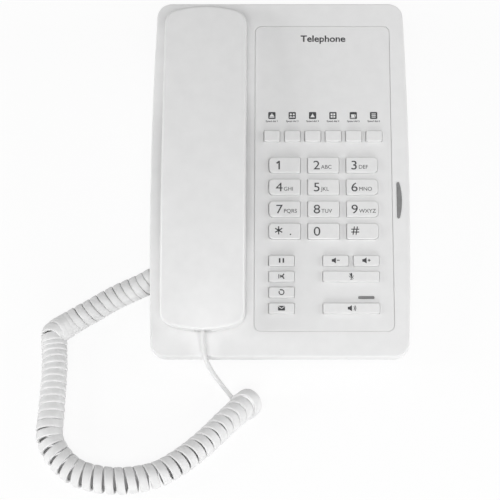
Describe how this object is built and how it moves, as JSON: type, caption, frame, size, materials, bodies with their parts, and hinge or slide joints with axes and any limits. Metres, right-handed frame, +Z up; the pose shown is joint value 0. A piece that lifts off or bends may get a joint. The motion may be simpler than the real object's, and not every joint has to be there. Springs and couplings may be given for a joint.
{
  "type": "corded desk telephone",
  "caption": "Corded desk telephone: wedge-shaped base with a handset cradled on the left, a numbered keypad, speed-dial keys and a curly handset cord.",
  "frame": {"origin": "on the table, under the middle of the base's bounding box", "axes": "+X to the user's right, +Y towards the rear of the telephone, +Z up; the user is at -Y"},
  "size_m": [0.2251, 0.3006, 0.0644],
  "materials": {
    "housing_plastic": "fine-grained white",
    "faceplate_plastic": "fine-grained white",
    "key_plastic": "satin white",
    "handset_plastic": "fine-grained white",
    "lens_plastic": "smoky clear",
    "silicone": "matte",
    "circuit_board": "solder-masked laminate",
    "black_plastic": "matte",
    "core_iron": "dull",
    "can_aluminium": "drawn",
    "diode_epoxy": "clear",
    "pressed_steel": "zinc plated",
    "cone_film": "matte",
    "plunger_plastic": "satin",
    "foot_rubber": "matte",
    "screw_steel": "zinc plated",
    "socket_plastic": "matte",
    "plug_plastic": "clear",
    "cord_jacket": "satin white"
  },
  "bodies": {
    "base": {"top_housing": "housing_plastic", "bottom_housing": "housing_plastic", "faceplate": "faceplate_plastic", "message_lamp": "lens_plastic", "speaker_indicator": "lens_plastic", "keymat": "silicone", "main_board": "circuit_board", "processor_chip": "black_plastic", "line_transformer": "core_iron", "capacitors": "can_aluminium", "lamp_diodes": "diode_epoxy", "loudspeaker": "pressed_steel", "loudspeaker_cone": "cone_film", "hook_switch": "black_plastic", "hands_free_microphone": "can_aluminium", "rubber_feet": "foot_rubber", "housing_screws": "screw_steel", "board_screws": "screw_steel", "line_jack": "socket_plastic", "handset_jack": "socket_plastic", "base_plug": "plug_plastic", "handset_lead": "cord_jacket", "curly_cord": "cord_jacket", "base_lead": "cord_jacket"},
    "handset": {"handset_outer_shell": "handset_plastic", "handset_inner_shell": "handset_plastic", "receiver_capsule": "pressed_steel", "handset_microphone": "can_aluminium", "handset_weight": "core_iron", "handset_screws": "screw_steel", "handset_socket": "socket_plastic", "handset_plug": "plug_plastic"},
    "hook": {"hook_plunger": "plunger_plastic"},
    "memory_button_1": {"memory_key_1": "key_plastic"},
    "memory_button_2": {"memory_key_2": "key_plastic"},
    "memory_button_3": {"memory_key_3": "key_plastic"},
    "memory_button_4": {"memory_key_4": "key_plastic"},
    "memory_button_5": {"memory_key_5": "key_plastic"},
    "memory_button_6": {"memory_key_6": "key_plastic"},
    "dial_button_1": {"dial_key_1": "key_plastic"},
    "dial_button_2": {"dial_key_2": "key_plastic"},
    "dial_button_3": {"dial_key_3": "key_plastic"},
    "dial_button_4": {"dial_key_4": "key_plastic"},
    "dial_button_5": {"dial_key_5": "key_plastic"},
    "dial_button_6": {"dial_key_6": "key_plastic"},
    "dial_button_7": {"dial_key_7": "key_plastic"},
    "dial_button_8": {"dial_key_8": "key_plastic"},
    "dial_button_9": {"dial_key_9": "key_plastic"},
    "dial_button_star": {"dial_key_star": "key_plastic"},
    "dial_button_0": {"dial_key_0": "key_plastic"},
    "dial_button_hash": {"dial_key_hash": "key_plastic"},
    "hold_button": {"hold_key": "key_plastic"},
    "transfer_button": {"transfer_key": "key_plastic"},
    "redial_button": {"redial_key": "key_plastic"},
    "message_button": {"message_key": "key_plastic"},
    "volume_up_button": {"volume_up_key": "key_plastic"},
    "volume_down_button": {"volume_down_key": "key_plastic"},
    "mute_button": {"mute_key": "key_plastic"},
    "speaker_button": {"speaker_key": "key_plastic"}
  },
  "joints": [
    {"name": "handset_lift", "type": "slide", "parent": "base", "child": "handset", "axis": [0, -0.1392, 0.9903], "range_m": [0, 0.06], "deforming": ["handset_lead", "curly_cord"]},
    {"name": "hook_rise", "type": "slide", "parent": "base", "child": "hook", "axis": [0, -0.1392, 0.9903], "range_m": [0, 0.005]},
    {"name": "memory_key_1_press", "type": "slide", "parent": "base", "child": "memory_button_1", "axis": [0, 0.1392, -0.9903], "range_m": [0, 0.0012], "stiffness_N_per_m": 350, "springref_m": -0.0008, "deforming": ["keymat"]},
    {"name": "memory_key_2_press", "type": "slide", "parent": "base", "child": "memory_button_2", "axis": [0, 0.1392, -0.9903], "range_m": [0, 0.0012], "stiffness_N_per_m": 350, "springref_m": -0.0008, "deforming": ["keymat"]},
    {"name": "memory_key_3_press", "type": "slide", "parent": "base", "child": "memory_button_3", "axis": [0, 0.1392, -0.9903], "range_m": [0, 0.0012], "stiffness_N_per_m": 350, "springref_m": -0.0008, "deforming": ["keymat"]},
    {"name": "memory_key_4_press", "type": "slide", "parent": "base", "child": "memory_button_4", "axis": [0, 0.1392, -0.9903], "range_m": [0, 0.0012], "stiffness_N_per_m": 350, "springref_m": -0.0008, "deforming": ["keymat"]},
    {"name": "memory_key_5_press", "type": "slide", "parent": "base", "child": "memory_button_5", "axis": [0, 0.1392, -0.9903], "range_m": [0, 0.0012], "stiffness_N_per_m": 350, "springref_m": -0.0008, "deforming": ["keymat"]},
    {"name": "memory_key_6_press", "type": "slide", "parent": "base", "child": "memory_button_6", "axis": [0, 0.1392, -0.9903], "range_m": [0, 0.0012], "stiffness_N_per_m": 350, "springref_m": -0.0008, "deforming": ["keymat"]},
    {"name": "dial_key_1_press", "type": "slide", "parent": "base", "child": "dial_button_1", "axis": [0, 0.1392, -0.9903], "range_m": [0, 0.0012], "stiffness_N_per_m": 350, "springref_m": -0.0008, "deforming": ["keymat"]},
    {"name": "dial_key_2_press", "type": "slide", "parent": "base", "child": "dial_button_2", "axis": [0, 0.1392, -0.9903], "range_m": [0, 0.0012], "stiffness_N_per_m": 350, "springref_m": -0.0008, "deforming": ["keymat"]},
    {"name": "dial_key_3_press", "type": "slide", "parent": "base", "child": "dial_button_3", "axis": [0, 0.1392, -0.9903], "range_m": [0, 0.0012], "stiffness_N_per_m": 350, "springref_m": -0.0008, "deforming": ["keymat"]},
    {"name": "dial_key_4_press", "type": "slide", "parent": "base", "child": "dial_button_4", "axis": [0, 0.1392, -0.9903], "range_m": [0, 0.0012], "stiffness_N_per_m": 350, "springref_m": -0.0008, "deforming": ["keymat"]},
    {"name": "dial_key_5_press", "type": "slide", "parent": "base", "child": "dial_button_5", "axis": [0, 0.1392, -0.9903], "range_m": [0, 0.0012], "stiffness_N_per_m": 350, "springref_m": -0.0008, "deforming": ["keymat"]},
    {"name": "dial_key_6_press", "type": "slide", "parent": "base", "child": "dial_button_6", "axis": [0, 0.1392, -0.9903], "range_m": [0, 0.0012], "stiffness_N_per_m": 350, "springref_m": -0.0008, "deforming": ["keymat"]},
    {"name": "dial_key_7_press", "type": "slide", "parent": "base", "child": "dial_button_7", "axis": [0, 0.1392, -0.9903], "range_m": [0, 0.0012], "stiffness_N_per_m": 350, "springref_m": -0.0008, "deforming": ["keymat"]},
    {"name": "dial_key_8_press", "type": "slide", "parent": "base", "child": "dial_button_8", "axis": [0, 0.1392, -0.9903], "range_m": [0, 0.0012], "stiffness_N_per_m": 350, "springref_m": -0.0008, "deforming": ["keymat"]},
    {"name": "dial_key_9_press", "type": "slide", "parent": "base", "child": "dial_button_9", "axis": [0, 0.1392, -0.9903], "range_m": [0, 0.0012], "stiffness_N_per_m": 350, "springref_m": -0.0008, "deforming": ["keymat"]},
    {"name": "dial_key_star_press", "type": "slide", "parent": "base", "child": "dial_button_star", "axis": [0, 0.1392, -0.9903], "range_m": [0, 0.0012], "stiffness_N_per_m": 350, "springref_m": -0.0008, "deforming": ["keymat"]},
    {"name": "dial_key_0_press", "type": "slide", "parent": "base", "child": "dial_button_0", "axis": [0, 0.1392, -0.9903], "range_m": [0, 0.0012], "stiffness_N_per_m": 350, "springref_m": -0.0008, "deforming": ["keymat"]},
    {"name": "dial_key_hash_press", "type": "slide", "parent": "base", "child": "dial_button_hash", "axis": [0, 0.1392, -0.9903], "range_m": [0, 0.0012], "stiffness_N_per_m": 350, "springref_m": -0.0008, "deforming": ["keymat"]},
    {"name": "hold_key_press", "type": "slide", "parent": "base", "child": "hold_button", "axis": [0, 0.1392, -0.9903], "range_m": [0, 0.0012], "stiffness_N_per_m": 350, "springref_m": -0.0008, "deforming": ["keymat"]},
    {"name": "transfer_key_press", "type": "slide", "parent": "base", "child": "transfer_button", "axis": [0, 0.1392, -0.9903], "range_m": [0, 0.0012], "stiffness_N_per_m": 350, "springref_m": -0.0008, "deforming": ["keymat"]},
    {"name": "redial_key_press", "type": "slide", "parent": "base", "child": "redial_button", "axis": [0, 0.1392, -0.9903], "range_m": [0, 0.0012], "stiffness_N_per_m": 350, "springref_m": -0.0008, "deforming": ["keymat"]},
    {"name": "message_key_press", "type": "slide", "parent": "base", "child": "message_button", "axis": [0, 0.1392, -0.9903], "range_m": [0, 0.0012], "stiffness_N_per_m": 350, "springref_m": -0.0008, "deforming": ["keymat"]},
    {"name": "volume_up_key_press", "type": "slide", "parent": "base", "child": "volume_up_button", "axis": [0, 0.1392, -0.9903], "range_m": [0, 0.0012], "stiffness_N_per_m": 350, "springref_m": -0.0008, "deforming": ["keymat"]},
    {"name": "volume_down_key_press", "type": "slide", "parent": "base", "child": "volume_down_button", "axis": [0, 0.1392, -0.9903], "range_m": [0, 0.0012], "stiffness_N_per_m": 350, "springref_m": -0.0008, "deforming": ["keymat"]},
    {"name": "mute_key_press", "type": "slide", "parent": "base", "child": "mute_button", "axis": [0, 0.1392, -0.9903], "range_m": [0, 0.0012], "stiffness_N_per_m": 350, "springref_m": -0.0008, "deforming": ["keymat"]},
    {"name": "speaker_key_press", "type": "slide", "parent": "base", "child": "speaker_button", "axis": [0, 0.1392, -0.9903], "range_m": [0, 0.0012], "stiffness_N_per_m": 350, "springref_m": -0.0008, "deforming": ["keymat"]}
  ],
  "couplings": [
    {"joint": "hook_rise", "follows": "handset_lift", "ratio": 0.08333}
  ]
}
